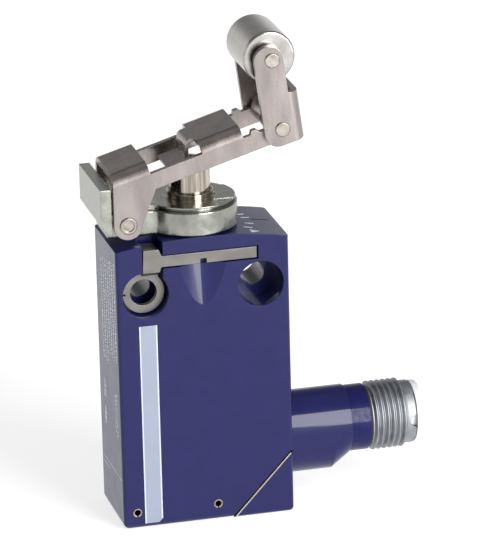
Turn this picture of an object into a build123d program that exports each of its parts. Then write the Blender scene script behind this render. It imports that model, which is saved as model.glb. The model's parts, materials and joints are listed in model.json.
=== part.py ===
"""Miniature metal limit switch with a one-way roller lever head and a threaded connector.

Axes: +X towards the connector, +Y towards the mounting face, +Z up.
Origin: on the mounting face, midway between the two mounting holes. Millimetres.
"""

from build123d import *
import math
import os

os.makedirs("parts", exist_ok=True)

# ---------------------------------------------------------------- driving dimensions
BODY_W = 30.0
BODY_D = 16.0
SHOULDER_Z = 8.0
BOTTOM_Z = -42.0
CROWN = 1.4
SIDE_WALL = 1.2
FACE_WALL = 1.5
CAVITY_TOP_Z = -7.0

HOLE_SPACING = 20.0
HOLE_R = 2.1
COUNTERBORE_R = 4.0
COUNTERBORE_DEPTH = 6.0
RELIEF_R = 3.25
RELIEF_DEPTH = 3.0

SEAM_HEIGHT = 11.7
SEAM_RUN = 11.1
SEAM_GAP = 0.56
GASKET_T = 0.26
WEB = 1.6

DISC_R = 8.0
DISC_BOTTOM_Z = 9.6
DISC_TOP_Z = 14.4
PLATE_T = 0.3
PLATE_GAP = 0.5
SHELF_DROP = 0.15
SHELF_INSET = 4.3
SPIGOT_R = 6.0
SPIGOT_BOTTOM_Z = 4.5
GROOVE_R = 5.0
GROOVE_LOW_Z = 5.0
GROOVE_HIGH_Z = 6.3
TONGUE_HALF = 4.2
BOSS_HALF = 5.5
END_WALL_X = -17.25
END_WALL_T = 1.85
END_WALL_LOW_Z = 11.1
END_WALL_TOP_Z = 19.2

PIVOT_X = -12.25
PIVOT_Z = 12.1
PIVOT_PIN_R = 1.5
RUNNING = 0.05

ARM_ANGLE = 16.0
SHEET_T = 1.0
LEVER_W = 13.2
BEND_R = 1.9
ARM_LOW = 4.46
ARM_HIGH = 7.3
SADDLE_TOP = 9.25
FOOT_R = 2.45
SADDLE_1_END = 6.3
SADDLE_2_START = 15.7
SADDLE_2_END = 23.1
YOKE_PIN_ALONG = 29.7
YOKE_PIN_ABOVE = 6.66
LEVER_END_R = 2.2
FINGER_LOW = 5.8
FINGER_T = 0.6
FINGER_TIP = 9.6
FINGER_FOLD = 13.1

YOKE_LEAN = 7.3
YOKE_W = 15.4
YOKE_LENGTH = 12.25
YOKE_LEFT = 3.1
YOKE_RIGHT = 1.9
WEB_OUTER = 3.75
WEB_TOP = 6.1
YOKE_BEND_R = 1.8
SMALL_PIN_R = 1.0
SMALL_HEAD_R = 1.3
SMALL_HEAD_T = 0.25

ROLLER_R = 4.5
ROLLER_LENGTH = 11.5

PLUNGER_R = 3.5
PLUNGER_TIP_GAP = 0.03
TIP_DOME = 0.45
TIP_RIM_R = PLUNGER_R - 0.6
STEM_R = 1.5
BUSH_R = 4.4
BUSH_LIP_R = 3.95
BUSH_LIP_Z = 15.5

CONNECTOR_Z = -29.1
THREAD_R = 6.0
THREAD_PITCH = 1.0
THREAD_DEPTH = 0.6

# ---------------------------------------------------------------- derived places
MID_Y = -BODY_D / 2
FRONT_Y = -BODY_D
HALF_W = BODY_W / 2
HOLE_X = HOLE_SPACING / 2
APEX_Z = SHOULDER_Z + CROWN
ARM_COS = math.cos(math.radians(ARM_ANGLE))
ARM_SIN = math.sin(math.radians(ARM_ANGLE))
YOKE_PIN_X = PIVOT_X + YOKE_PIN_ALONG * ARM_COS - YOKE_PIN_ABOVE * ARM_SIN
YOKE_PIN_Z = PIVOT_Z + YOKE_PIN_ALONG * ARM_SIN + YOKE_PIN_ABOVE * ARM_COS
LEAN_COS = math.cos(math.radians(YOKE_LEAN))
LEAN_SIN = math.sin(math.radians(YOKE_LEAN))
ROLLER_X = YOKE_PIN_X - YOKE_LENGTH * LEAN_SIN
ROLLER_Z = YOKE_PIN_Z + YOKE_LENGTH * LEAN_COS
SEAM_SLOPE = math.hypot(SEAM_HEIGHT, SEAM_RUN)

# The lever's flat foot lies on the plunger's domed tip, square to the arm.
TIP_SPHERE_R = (TIP_RIM_R**2 + TIP_DOME**2) / (2 * TIP_DOME)
FOOT_TO_CENTRE = TIP_SPHERE_R - FINGER_LOW + PLUNGER_TIP_GAP
PLUNGER_TIP_Z = PIVOT_Z + TIP_SPHERE_R - (FOOT_TO_CENTRE + PIVOT_X * ARM_SIN) / ARM_COS

# Side-view planes: local x and y lie in the object's side view, the normal points to the front.
ARM_PLANE = Plane(origin=(PIVOT_X, MID_Y, PIVOT_Z), x_dir=(ARM_COS, 0, ARM_SIN), z_dir=(0, -1, 0))
YOKE_PLANE = Plane(
    origin=(YOKE_PIN_X, MID_Y, YOKE_PIN_Z), x_dir=(LEAN_COS, 0, LEAN_SIN), z_dir=(0, -1, 0)
)
CENTRE_PLANE = Plane(origin=(0, MID_Y, 0), x_dir=(1, 0, 0), z_dir=(0, -1, 0))
HEAD_PLANE = Plane(origin=(0, MID_Y, 0), x_dir=(1, 0, 0), z_dir=(0, 0, 1))
BARREL_PLANE = Plane(origin=(HALF_W, MID_Y, CONNECTOR_Z), x_dir=(0, 1, 0), z_dir=(1, 0, 0))


def save(piece, name):
    """Labels a finished piece and writes its STEP file."""
    piece.part.label = name
    export_step(piece.part, f"parts/{name}.step")


def across(x, z, y=MID_Y):
    """A plane at (x, y, z) whose normal points to the front, for pins that run along Y."""
    return Plane(origin=(x, y, z), x_dir=(1, 0, 0), z_dir=(0, -1, 0))


def seam_x(z, offset=0.0):
    """X of the diagonal seam at height z, moved square to itself into the housing by offset."""
    return HALF_W - (BOTTOM_Z + SEAM_HEIGHT - z) * SEAM_RUN / SEAM_HEIGHT - offset * SEAM_SLOPE / SEAM_HEIGHT


def seam_z(x, offset=0.0):
    """Height of the diagonal seam at x, moved square to itself into the housing by offset."""
    return BOTTOM_Z + SEAM_HEIGHT - (HALF_W - x) * SEAM_HEIGHT / SEAM_RUN + offset * SEAM_SLOPE / SEAM_RUN


# ---------------------------------------------------------------- housing
CAVITY_X = HALF_W - SIDE_WALL
CAVITY_FRONT_Y = FRONT_Y + FACE_WALL
SCREW_BOSS_X = 11.0
SCREW_BOSS_Y = (-13.0, -3.0)
SCREW_R = 1.0
SCREW_HEAD_R = 1.9
SEAT_R = 3.5
SCREW_BOSS_TOP_Z = -26.0
SLOT_LOW_Z = 4.45
SLOT_HIGH_Z = 6.85
FORK_SLOT_LOW_Z = 4.95
FORK_SLOT_HIGH_Z = 6.25
SCOOP_X = 0.0
SCOOP_R = 8.0
SCOOP_TILT = 9.1
SCOOP_START_Z = 5.05
SCOOP_END_Z = -2.6
ROLL_PIN_PLACES = ((-12.6, -39.0), (1.6, -39.0))
ROLL_PIN_R = 0.8

with BuildPart() as housing:
    with BuildSketch(Plane.XZ):
        with BuildLine():
            Polyline(
                (-HALF_W, SHOULDER_Z),
                (-HALF_W, BOTTOM_Z),
                (seam_x(BOTTOM_Z), BOTTOM_Z),
                (HALF_W, seam_z(HALF_W)),
                (HALF_W, SHOULDER_Z),
            )
            ThreePointArc((HALF_W, SHOULDER_Z), (0, APEX_Z), (-HALF_W, SHOULDER_Z))
        make_face()
    extrude(amount=BODY_D)
    corners = housing.edges().filter_by(Axis.Z)
    fillet(corners, radius=0.6)
    foot = housing.edges().group_by(Axis.Z)[0].filter_by(Axis.Y).sort_by(Axis.X)[0]
    fillet(foot, radius=1.3)

    # main cavity, open at the bottom, with a web along the diagonal seam
    with BuildSketch(Plane.XZ.offset(FACE_WALL)):
        with BuildLine():
            Polyline(
                (-CAVITY_X, CAVITY_TOP_Z),
                (-CAVITY_X, BOTTOM_Z),
                (seam_x(BOTTOM_Z, WEB), BOTTOM_Z),
                (CAVITY_X, seam_z(CAVITY_X, WEB)),
                (CAVITY_X, CAVITY_TOP_Z),
                close=True,
            )
        make_face()
    extrude(amount=BODY_D - 2 * FACE_WALL, mode=Mode.SUBTRACT)

    # bosses for the corner block's screws
    for boss_y in SCREW_BOSS_Y:
        with BuildSketch(Plane.XY.offset(SCREW_BOSS_TOP_Z)):
            with Locations((SCREW_BOSS_X, boss_y)):
                Circle(1.95)
        extrude(amount=seam_z(SCREW_BOSS_X, 0.8) - SCREW_BOSS_TOP_Z)
        with BuildSketch(Plane.XY.offset(BOTTOM_Z)):
            with Locations((SCREW_BOSS_X, boss_y)):
                Circle(SCREW_R + 0.03)
        extrude(amount=SCREW_BOSS_TOP_Z - BOTTOM_Z - 1.0, mode=Mode.SUBTRACT)
    with BuildSketch(Plane.XZ):
        with BuildLine():
            Polyline(
                (seam_x(BOTTOM_Z), BOTTOM_Z),
                (HALF_W + 1, BOTTOM_Z),
                (HALF_W + 1, seam_z(HALF_W + 1)),
                close=True,
            )
        make_face()
    extrude(amount=BODY_D, mode=Mode.SUBTRACT)

    # mounting holes: counterbored in front, relieved behind
    with BuildSketch(Plane.XZ):
        with Locations((-HOLE_X, 0), (HOLE_X, 0)):
            Circle(HOLE_R)
    extrude(amount=BODY_D, mode=Mode.SUBTRACT)
    with BuildSketch(Plane.XZ.offset(BODY_D - COUNTERBORE_DEPTH)):
        with Locations((-HOLE_X, 0), (HOLE_X, 0)):
            Circle(COUNTERBORE_R)
    extrude(amount=COUNTERBORE_DEPTH, mode=Mode.SUBTRACT)
    with BuildSketch(Plane.XZ):
        with Locations((-HOLE_X, 0), (HOLE_X, 0)):
            Circle(RELIEF_R)
    extrude(amount=RELIEF_DEPTH, mode=Mode.SUBTRACT)

    # stepped bore for the head's spigot, with a seat for its seal
    with BuildSketch(HEAD_PLANE.offset(SPIGOT_BOTTOM_Z - 0.2)):
        Circle(SPIGOT_R + RUNNING)
    extrude(amount=CROWN + SHOULDER_Z, mode=Mode.SUBTRACT)
    with BuildSketch(HEAD_PLANE.offset(8.4)):
        Circle(7.35)
    extrude(amount=CROWN, mode=Mode.SUBTRACT)
    with BuildSketch(HEAD_PLANE.offset(CAVITY_TOP_Z)):
        Circle(3.5)
    extrude(amount=SHOULDER_Z - CAVITY_TOP_Z, mode=Mode.SUBTRACT)

    # recesses for the head's retaining clip: arm, tab, step behind the tab, and fork slot
    with BuildSketch(Plane.XZ.offset(BODY_D - 1.6)):
        with Locations((1.25, (SLOT_LOW_Z + SLOT_HIGH_Z) / 2)):
            Rectangle(16.9, SLOT_HIGH_Z - SLOT_LOW_Z)
        with Locations((-8.65, 6.5)):
            Rectangle(3.6, 9.0)
    extrude(amount=1.6, mode=Mode.SUBTRACT)
    with BuildSketch(Plane.XZ.offset(BODY_D - 3.2)):
        with Locations((-8.65, 3.4)):
            Rectangle(3.6, 3.2)
    extrude(amount=3.2, mode=Mode.SUBTRACT)
    with BuildSketch(Plane.XZ.offset(BODY_D - 5.2)):
        with Locations((-8.65, 8.1)):
            Rectangle(3.6, 3.0)
    extrude(amount=5.2, mode=Mode.SUBTRACT)
    with BuildSketch(Plane.XZ.offset(4.0)):
        with Locations((0, (FORK_SLOT_LOW_Z + FORK_SLOT_HIGH_Z) / 2)):
            Rectangle(15.4, FORK_SLOT_HIGH_Z - FORK_SLOT_LOW_Z)
    extrude(amount=BODY_D - 4.0, mode=Mode.SUBTRACT)

    # round scoop under the arm, where a screwdriver prises the clip out
    scoop_out = math.cos(math.radians(SCOOP_TILT))
    scoop_up = math.sin(math.radians(SCOOP_TILT))
    scoop_axis = Plane(
        origin=(SCOOP_X, FRONT_Y - SCOOP_R * scoop_out, SCOOP_END_Z + SCOOP_R * scoop_up),
        x_dir=(1, 0, 0),
        z_dir=(0, scoop_up, scoop_out),
    )
    with BuildSketch(scoop_axis.offset(-1)):
        Circle(SCOOP_R)
    extrude(amount=1 + (SCOOP_START_Z - SCOOP_END_Z) / scoop_out, mode=Mode.SUBTRACT)

    # connector barrel's seat through the right wall and the web
    with BuildSketch(BARREL_PLANE.offset(1)):
        Circle(SEAT_R)
    extrude(amount=-10, mode=Mode.SUBTRACT)

    # holes for the two roll pins that lock the bottom plug
    with BuildSketch(Plane.XZ.offset(1.0)):
        with Locations(*ROLL_PIN_PLACES):
            Circle(ROLL_PIN_R)
    extrude(amount=BODY_D, mode=Mode.SUBTRACT)
save(housing, "housing")

# ---------------------------------------------------------------- bottom plug and its roll pins
PLUG_CLEARANCE = 0.06
PLUG_TOP_Z = -35.5

with BuildPart() as bottom_plug:
    plug_left = -CAVITY_X + PLUG_CLEARANCE
    with BuildSketch(Plane.XZ.offset(FACE_WALL + PLUG_CLEARANCE)):
        with BuildLine():
            Polyline(
                (plug_left, PLUG_TOP_Z),
                (plug_left, BOTTOM_Z + 0.3),
                (seam_x(BOTTOM_Z + 0.3, WEB + PLUG_CLEARANCE), BOTTOM_Z + 0.3),
                (seam_x(PLUG_TOP_Z, WEB + PLUG_CLEARANCE), PLUG_TOP_Z),
                close=True,
            )
        make_face()
    extrude(amount=BODY_D - 2 * (FACE_WALL + PLUG_CLEARANCE))
    with BuildSketch(Plane.XY.offset(PLUG_TOP_Z)):
        with Locations((-5.0, MID_Y)):
            RectangleRounded(11.5, 9.5, 1.5)
    extrude(amount=-4.0, mode=Mode.SUBTRACT)
    with BuildSketch(Plane.XZ):
        with Locations(*ROLL_PIN_PLACES):
            Circle(ROLL_PIN_R)
    extrude(amount=BODY_D, mode=Mode.SUBTRACT)
save(bottom_plug, "bottom_plug")

with BuildPart() as roll_pins:
    with BuildSketch(Plane.XZ.offset(1.0)):
        with Locations(*ROLL_PIN_PLACES):
            Circle(ROLL_PIN_R)
            Circle(ROLL_PIN_R - 0.25, mode=Mode.SUBTRACT)
        with Locations(*[(x, z - ROLL_PIN_R) for x, z in ROLL_PIN_PLACES]):
            Rectangle(0.25, ROLL_PIN_R, mode=Mode.SUBTRACT)
    extrude(amount=BODY_D - 1.1)
save(roll_pins, "roll_pins")

# ---------------------------------------------------------------- corner block, its gasket and screws
with BuildPart() as corner_block:
    with BuildSketch(Plane.XZ):
        with BuildLine():
            Polyline(
                (seam_x(BOTTOM_Z, -SEAM_GAP), BOTTOM_Z),
                (HALF_W, BOTTOM_Z),
                (HALF_W, seam_z(HALF_W, -SEAM_GAP)),
                close=True,
            )
        make_face()
    extrude(amount=BODY_D)
    fillet(corner_block.edges().filter_by(Axis.Z), radius=0.6)
    heel = corner_block.edges().group_by(Axis.Z)[0].filter_by(Axis.Y).sort_by(Axis.X)[-1]
    fillet(heel, radius=0.8)
    with BuildSketch(BARREL_PLANE.offset(1)):
        Circle(SEAT_R)
    extrude(amount=-10, mode=Mode.SUBTRACT)
    with Locations(*[(SCREW_BOSS_X, y, BOTTOM_Z) for y in SCREW_BOSS_Y]):
        with Locations(Rotation(180, 0, 0)):
            CounterBoreHole(
                radius=SCREW_R + 0.1, counter_bore_radius=SCREW_HEAD_R + 0.15, counter_bore_depth=2.4
            )
save(corner_block, "corner_block")

with BuildPart() as corner_gasket:
    with BuildSketch(Plane.XZ.offset(0.5)):
        with BuildLine():
            Polyline(
                (seam_x(BOTTOM_Z + 0.1, GASKET_T - SEAM_GAP), BOTTOM_Z + 0.1),
                (HALF_W - 0.35, seam_z(HALF_W - 0.35, GASKET_T - SEAM_GAP)),
                (HALF_W - 0.35, seam_z(HALF_W - 0.35, -SEAM_GAP)),
                (seam_x(BOTTOM_Z + 0.1, -SEAM_GAP), BOTTOM_Z + 0.1),
                close=True,
            )
        make_face()
    extrude(amount=BODY_D - 0.6)
    with BuildSketch(BARREL_PLANE.offset(1)):
        Circle(SEAT_R + 0.1)
    extrude(amount=-10, mode=Mode.SUBTRACT)
    with BuildSketch(Plane.XY.offset(BOTTOM_Z)):
        with Locations(*[(SCREW_BOSS_X, y) for y in SCREW_BOSS_Y]):
            Circle(SCREW_R + 0.15)
    extrude(amount=SEAM_HEIGHT + 2, mode=Mode.SUBTRACT)
save(corner_gasket, "corner_gasket")

with BuildPart() as corner_screws:
    with BuildSketch(Plane.XY.offset(BOTTOM_Z + 0.4)):
        with Locations(*[(SCREW_BOSS_X, y) for y in SCREW_BOSS_Y]):
            Circle(SCREW_HEAD_R)
    extrude(amount=2.0)
    with BuildSketch(Plane.XY.offset(BOTTOM_Z + 0.4)):
        with Locations(*[(SCREW_BOSS_X, y) for y in SCREW_BOSS_Y]):
            RegularPolygon(0.85, 6)
    extrude(amount=1.2, mode=Mode.SUBTRACT)
    with BuildSketch(Plane.XY.offset(BOTTOM_Z + 2.4)):
        with Locations(*[(SCREW_BOSS_X, y) for y in SCREW_BOSS_Y]):
            Circle(SCREW_R)
    extrude(amount=11.0)
save(corner_screws, "corner_screws")

# ---------------------------------------------------------------- connector
BARREL_SLOT_R = 6.0
BARREL_DROP = 2.4
BARREL_STRAIGHT = 8.1
BARREL_TAPER = 3.1
BARREL_END_R = 6.0
COLLAR_R = 5.75
COLLAR_END_X = 29.7
SHELL_BORE_R = 4.6
SHELL_INNER_R = 3.4
LAND_R = 5.0
O_RING_X = 29.93
O_RING_WIRE_R = 0.22
THREAD_START_X = 30.3
THREAD_COUNT = 6
THREAD_END_X = THREAD_START_X + THREAD_COUNT * THREAD_PITCH
RING_R = 5.45
RING_END_X = 38.1
INSERT_END_X = 39.6
SOCKET_FLOOR_X = 30.5
CONTACT_PIN_END_X = 35.4
CONTACT_PIN_PCR = 2.75

with BuildPart() as connector_barrel:
    with BuildSketch(BARREL_PLANE):
        with Locations((0, -BARREL_DROP / 2)):
            SlotCenterToCenter(BARREL_DROP, 2 * BARREL_SLOT_R, rotation=90)
    extrude(amount=BARREL_STRAIGHT)
    with BuildSketch(BARREL_PLANE.offset(BARREL_STRAIGHT)):
        with Locations((0, -BARREL_DROP / 2)):
            SlotCenterToCenter(BARREL_DROP, 2 * BARREL_SLOT_R, rotation=90)
    with BuildSketch(BARREL_PLANE.offset(BARREL_STRAIGHT + BARREL_TAPER)):
        with Locations((0, -0.005)):
            SlotCenterToCenter(0.01, 2 * BARREL_END_R, rotation=90)
    loft()
    with BuildSketch(BARREL_PLANE.offset(BARREL_STRAIGHT + BARREL_TAPER)):
        Circle(COLLAR_R)
    extrude(amount=COLLAR_END_X - HALF_W - BARREL_STRAIGHT - BARREL_TAPER)
    with BuildSketch(BARREL_PLANE):
        Circle(SEAT_R - 0.04)
    extrude(amount=-5.0)
    with BuildSketch(BARREL_PLANE.offset(-5.0)):
        Circle(2.5)
    extrude(amount=14.0, mode=Mode.SUBTRACT)
    with BuildSketch(BARREL_PLANE.offset(9.0)):
        Circle(SHELL_BORE_R)
    extrude(amount=10.0, mode=Mode.SUBTRACT)
save(connector_barrel, "connector_barrel")

with BuildPart() as connector_shell:
    with BuildSketch(CENTRE_PLANE):
        with BuildLine():
            thread_points = []
            for turn in range(THREAD_COUNT):
                start = THREAD_START_X + turn * THREAD_PITCH
                thread_points.append((start + 0.06, CONNECTOR_Z + THREAD_R - THREAD_DEPTH))
                thread_points.append((start + 0.42, CONNECTOR_Z + THREAD_R))
                thread_points.append((start + 0.58, CONNECTOR_Z + THREAD_R))
                thread_points.append((start + 0.94, CONNECTOR_Z + THREAD_R - THREAD_DEPTH))
            Polyline(
                (24.1, CONNECTOR_Z + SHELL_INNER_R),
                (24.1, CONNECTOR_Z + SHELL_BORE_R),
                (COLLAR_END_X, CONNECTOR_Z + SHELL_BORE_R),
                (COLLAR_END_X, CONNECTOR_Z + LAND_R),
                (THREAD_START_X - 0.14, CONNECTOR_Z + LAND_R),
                (THREAD_START_X - 0.14, CONNECTOR_Z + THREAD_R - THREAD_DEPTH),
                *thread_points,
                (THREAD_END_X + 0.2, CONNECTOR_Z + RING_R),
                (RING_END_X - 0.3, CONNECTOR_Z + RING_R),
                (RING_END_X, CONNECTOR_Z + RING_R - 0.3),
                (RING_END_X, CONNECTOR_Z + 4.5),
                (29.0, CONNECTOR_Z + 4.5),
                (29.0, CONNECTOR_Z + SHELL_INNER_R),
                close=True,
            )
        make_face()
    revolve(axis=Axis((0, MID_Y, CONNECTOR_Z), (1, 0, 0)))
    with BuildSketch(across(RING_END_X, CONNECTOR_Z, MID_Y - 4.0)):
        with BuildLine():
            Polyline((-1.3, 0.4), (-0.9, 0.8), (0.1, 1.4), (0.1, -1.4), (-0.9, -0.8), (-1.3, -0.4), close=True)
        make_face()
    extrude(amount=3.0, mode=Mode.SUBTRACT)
save(connector_shell, "connector_shell")

CONTACT_PIN_SPOTS = [
    (CONTACT_PIN_PCR * math.cos(math.radians(a)), CONTACT_PIN_PCR * math.sin(math.radians(a)))
    for a in (45, 135, 225, 315)
]

with BuildPart() as connector_insert:
    with BuildSketch(CENTRE_PLANE):
        with BuildLine():
            Polyline(
                (26.0, CONNECTOR_Z),
                (26.0, CONNECTOR_Z + SHELL_INNER_R),
                (29.1, CONNECTOR_Z + SHELL_INNER_R),
                (29.1, CONNECTOR_Z + 4.45),
                (RING_END_X + 0.02, CONNECTOR_Z + 4.45),
                (RING_END_X + 0.02, CONNECTOR_Z + 5.35),
                (INSERT_END_X - 0.4, CONNECTOR_Z + 5.3),
                (INSERT_END_X, CONNECTOR_Z + 4.9),
                (INSERT_END_X, CONNECTOR_Z + 4.15),
                (SOCKET_FLOOR_X, CONNECTOR_Z + 4.15),
                (SOCKET_FLOOR_X, CONNECTOR_Z),
                close=True,
            )
        make_face()
    revolve(axis=Axis((0, MID_Y, CONNECTOR_Z), (1, 0, 0)))
    with BuildSketch(BARREL_PLANE.offset(SOCKET_FLOOR_X - HALF_W - 0.1)):
        with Locations((0, 3.9)):
            Rectangle(1.2, 1.0)
    extrude(amount=7.0)
    with BuildSketch(BARREL_PLANE):
        with Locations(*CONTACT_PIN_SPOTS):
            Circle(0.5)
    extrude(amount=SOCKET_FLOOR_X - HALF_W, mode=Mode.SUBTRACT)
save(connector_insert, "connector_insert")

with BuildPart() as contact_pins:
    with BuildSketch(BARREL_PLANE.offset(24.2 - HALF_W)):
        with Locations(*CONTACT_PIN_SPOTS):
            Circle(0.5)
    extrude(amount=CONTACT_PIN_END_X - 24.2)
    tips = contact_pins.edges().group_by(Axis.X)[-1]
    fillet(tips, radius=0.3)
save(contact_pins, "contact_pins")

with BuildPart() as connector_o_ring:
    with BuildSketch(across(O_RING_X, CONNECTOR_Z)):
        with Locations((0, LAND_R + O_RING_WIRE_R)):
            Circle(O_RING_WIRE_R)
    revolve(axis=Axis((0, MID_Y, CONNECTOR_Z), (1, 0, 0)))
save(connector_o_ring, "connector_o_ring")

# ---------------------------------------------------------------- head
PLATE_LOW_Z = DISC_TOP_Z - PLATE_T
STEM_HOLE_R = STEM_R + 0.1

with BuildPart() as head_base:
    with BuildSketch(HEAD_PLANE.offset(DISC_BOTTOM_Z)):
        Circle(DISC_R)
        with Locations((-7.7, 0)):
            Rectangle(15.4, 2 * TONGUE_HALF)
    extrude(amount=PLATE_LOW_Z - PLATE_GAP - DISC_BOTTOM_Z)
    waists = head_base.edges().filter_by(Axis.Z).group_by(Axis.X)[-1]
    fillet(waists, radius=1.2)
    chamfer(head_base.edges().group_by(Axis.Z)[-1], length=0.2)

    # thin plate on top, set in from the rim, over a narrow gap
    for low, inset, height in ((PLATE_LOW_Z - PLATE_GAP, 1.1, PLATE_GAP), (PLATE_LOW_Z, 0.35, PLATE_T)):
        with BuildSketch(HEAD_PLANE.offset(low)) as plate_outline:
            Circle(DISC_R - inset)
            with Locations((-7.7, 0)):
                Rectangle(15.4, 2 * (TONGUE_HALF - inset))
            fillet([v for v in plate_outline.vertices() if -7.5 < v.X < -4.0], radius=1.2)
        extrude(amount=height)

    # boss that the lever straddles
    with BuildSketch(across(PIVOT_X, PIVOT_Z, MID_Y + BOSS_HALF)):
        Circle(2.45)
    extrude(amount=2 * BOSS_HALF)

    # end wall, the lever's upper stop
    with BuildSketch(Plane.XZ):
        with BuildLine():
            Polyline(
                (END_WALL_X, END_WALL_TOP_Z),
                (END_WALL_X, END_WALL_LOW_Z + 1.9),
                (END_WALL_X + 1.15, END_WALL_LOW_Z),
                (END_WALL_X + END_WALL_T, END_WALL_LOW_Z),
                (END_WALL_X + END_WALL_T, END_WALL_TOP_Z),
                close=True,
            )
        make_face()
    extrude(amount=BODY_D)

    # lowered corners of the plate on the connector side
    for side in (-1, 1):
        with BuildSketch(Plane.XY.offset(DISC_TOP_Z - SHELF_DROP)):
            with Locations((6.2, MID_Y + side * (DISC_R - SHELF_INSET / 2))):
                Rectangle(6.0, SHELF_INSET)
        extrude(amount=SHELF_DROP, mode=Mode.SUBTRACT)

    # spigot with the clip's groove
    with BuildSketch(HEAD_PLANE.offset(SPIGOT_BOTTOM_Z)):
        Circle(SPIGOT_R)
    extrude(amount=DISC_BOTTOM_Z - SPIGOT_BOTTOM_Z)
    chamfer(head_base.edges().filter_by(GeomType.CIRCLE).group_by(Axis.Z)[0], length=0.3)
    with BuildSketch(HEAD_PLANE.offset(GROOVE_LOW_Z)):
        Circle(SPIGOT_R + 1)
        Circle(GROOVE_R, mode=Mode.SUBTRACT)
    extrude(amount=GROOVE_HIGH_Z - GROOVE_LOW_Z, mode=Mode.SUBTRACT)

    # bush seat, stem hole and pivot hole
    with BuildSketch(HEAD_PLANE.offset(SPIGOT_BOTTOM_Z + 0.7)):
        Circle(BUSH_R + 0.02)
    extrude(amount=20, mode=Mode.SUBTRACT)
    with BuildSketch(HEAD_PLANE):
        Circle(STEM_HOLE_R)
    extrude(amount=20, mode=Mode.SUBTRACT)
    with BuildSketch(across(PIVOT_X, PIVOT_Z, 0)):
        Circle(PIVOT_PIN_R + RUNNING)
    extrude(amount=BODY_D, mode=Mode.SUBTRACT)
save(head_base, "head_base")

BUSH_LOW_Z = SPIGOT_BOTTOM_Z + 0.7
BUSH_BORE_R = PLUNGER_R + RUNNING

WIPER_LOW_Z = DISC_TOP_Z - 1.4
WIPER_T = 0.6

with BuildPart() as guide_bush:
    with BuildSketch(HEAD_PLANE.offset(BUSH_LOW_Z)):
        Circle(BUSH_R)
    extrude(amount=DISC_TOP_Z - BUSH_LOW_Z)
    with BuildSketch(HEAD_PLANE.offset(DISC_TOP_Z)):
        Circle(BUSH_LIP_R)
    extrude(amount=BUSH_LIP_Z - DISC_TOP_Z)
    chamfer(guide_bush.edges().group_by(Axis.Z)[-1], length=0.15)
    with BuildSketch(HEAD_PLANE.offset(BUSH_LOW_Z)):
        Circle(BUSH_BORE_R)
    extrude(amount=BUSH_LIP_Z - BUSH_LOW_Z, mode=Mode.SUBTRACT)
    with BuildSketch(HEAD_PLANE.offset(WIPER_LOW_Z)):
        Circle(PLUNGER_R + 0.55)
    extrude(amount=WIPER_T, mode=Mode.SUBTRACT)
save(guide_bush, "guide_bush")

with BuildPart() as plunger_wiper:
    with BuildSketch(HEAD_PLANE.offset(WIPER_LOW_Z)):
        Circle(PLUNGER_R + 0.55)
        Circle(PLUNGER_R + RUNNING, mode=Mode.SUBTRACT)
    extrude(amount=WIPER_T)
save(plunger_wiper, "plunger_wiper")

with BuildPart() as head_seal:
    with BuildSketch(across(0, 0)):
        with Locations((6.7, 8.98)):
            Circle(0.55)
    revolve(axis=Axis((0, MID_Y, 0), (0, 0, 1)))
save(head_seal, "head_seal")

# ---------------------------------------------------------------- plunger
SPRING_POCKET_TOP_Z = 16.5
PLUNGER_LOW_Z = 9.5
STEM_LOW_Z = 2.6
TIP_HALF_ANGLE = math.asin(TIP_RIM_R / TIP_SPHERE_R) / 2
CIRCLIP_Z = 4.12

with BuildPart() as plunger:
    with BuildSketch(CENTRE_PLANE):
        with BuildLine():
            Polyline(
                (0, PLUNGER_TIP_Z),
                (0, STEM_LOW_Z),
                (STEM_R, STEM_LOW_Z),
                (STEM_R, CIRCLIP_Z - 0.3),
                (STEM_R - 0.4, CIRCLIP_Z - 0.3),
                (STEM_R - 0.4, CIRCLIP_Z + 0.3),
                (STEM_R, CIRCLIP_Z + 0.3),
                (STEM_R, SPRING_POCKET_TOP_Z),
                (PLUNGER_R - 0.6, SPRING_POCKET_TOP_Z),
                (PLUNGER_R - 0.6, PLUNGER_LOW_Z),
                (PLUNGER_R, PLUNGER_LOW_Z),
                (PLUNGER_R, PLUNGER_TIP_Z - 1.1),
                (TIP_RIM_R, PLUNGER_TIP_Z - TIP_DOME),
            )
            ThreePointArc(
                (TIP_RIM_R, PLUNGER_TIP_Z - TIP_DOME),
                (
                    TIP_SPHERE_R * math.sin(TIP_HALF_ANGLE),
                    PLUNGER_TIP_Z - TIP_SPHERE_R * (1 - math.cos(TIP_HALF_ANGLE)),
                ),
                (0, PLUNGER_TIP_Z),
            )
        make_face()
    revolve(axis=Axis((0, MID_Y, 0), (0, 0, 1)))
save(plunger, "plunger")

with BuildPart() as plunger_circlip:
    with BuildSketch(HEAD_PLANE.offset(CIRCLIP_Z - 0.25)):
        Circle(2.5)
        Circle(STEM_R - 0.4, mode=Mode.SUBTRACT)
        with Locations((0, 1.8)):
            Rectangle(1.4, 3.0, mode=Mode.SUBTRACT)
    extrude(amount=0.5)
save(plunger_circlip, "plunger_circlip")


def coil(axis_plane, radius, wire_r, turns, height):
    """A round-wire coil spring whose end turns finish inside 0 to height along the plane's normal."""
    rise = height - 2 * wire_r
    with BuildPart() as spring:
        with BuildLine() as path:
            Helix(
                pitch=rise / turns,
                height=rise,
                radius=radius,
                center=axis_plane.offset(wire_r).origin,
                direction=axis_plane.z_dir,
            )
        with BuildSketch(Plane(origin=path.line @ 0, z_dir=path.line % 0)):
            Circle(wire_r)
        sweep(is_frenet=True)
    return spring


plunger_spring = coil(HEAD_PLANE.offset(BUSH_LOW_Z + 0.02), 2.2, 0.32, 7, SPRING_POCKET_TOP_Z - BUSH_LOW_Z - 0.04)
save(plunger_spring, "plunger_spring")

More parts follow.
